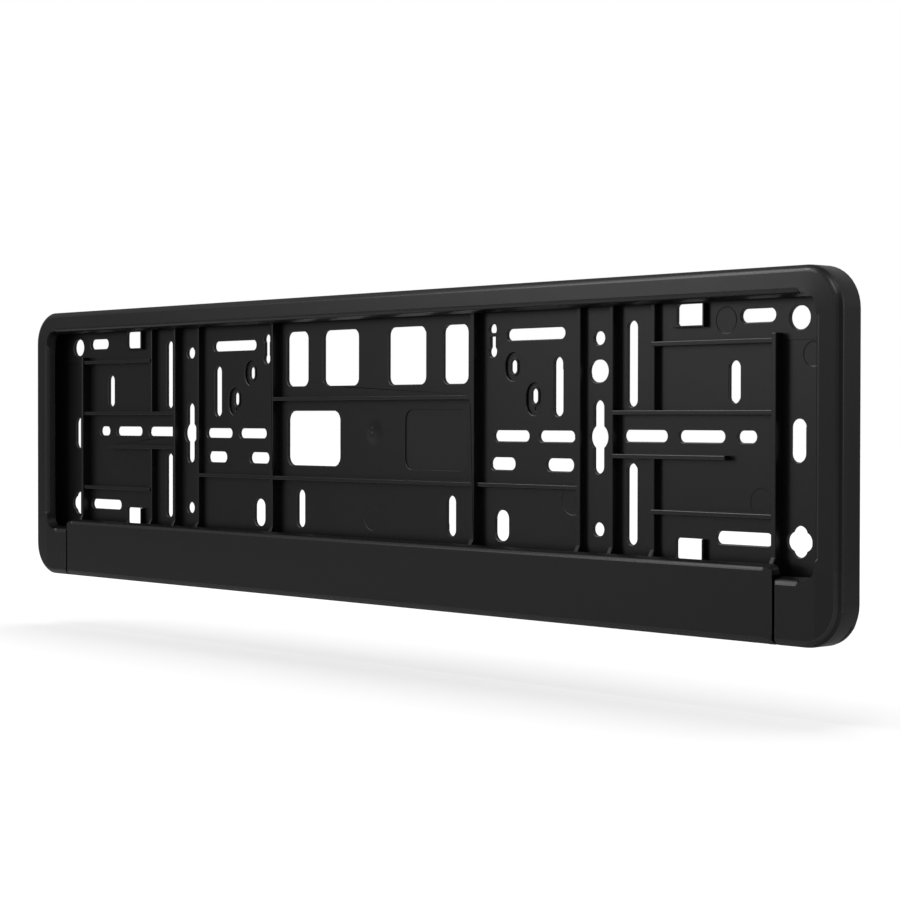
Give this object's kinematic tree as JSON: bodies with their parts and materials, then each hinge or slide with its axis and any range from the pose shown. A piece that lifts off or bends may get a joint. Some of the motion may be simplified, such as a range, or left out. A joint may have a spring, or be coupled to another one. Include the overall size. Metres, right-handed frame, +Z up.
{
  "type": "number plate holder",
  "caption": "Shallow oblong car plate holder with a slotted ribbed floor, a rounded border and a full-length flap along its lower edge.",
  "frame": {"origin": "centre of the flat rear face", "axes": "+X right as seen from the front, +Y to the rear, +Z up; the front faces -Y"},
  "size_m": [0.5364, 0.012, 0.1374],
  "materials": {
    "black_plastic": "satin, fine moulded grain"
  },
  "bodies": {
    "holder": {"carrier": "black_plastic", "hinge_web": "black_plastic"},
    "flap_body": {"flap": "black_plastic"}
  },
  "joints": [
    {"name": "flap_hinge", "type": "hinge", "parent": "holder", "child": "flap_body", "pos_m": [0, -0.0022, -0.0685], "axis": [1, 0, 0], "range_deg": [0, 100], "deforming": ["hinge_web"]}
  ]
}
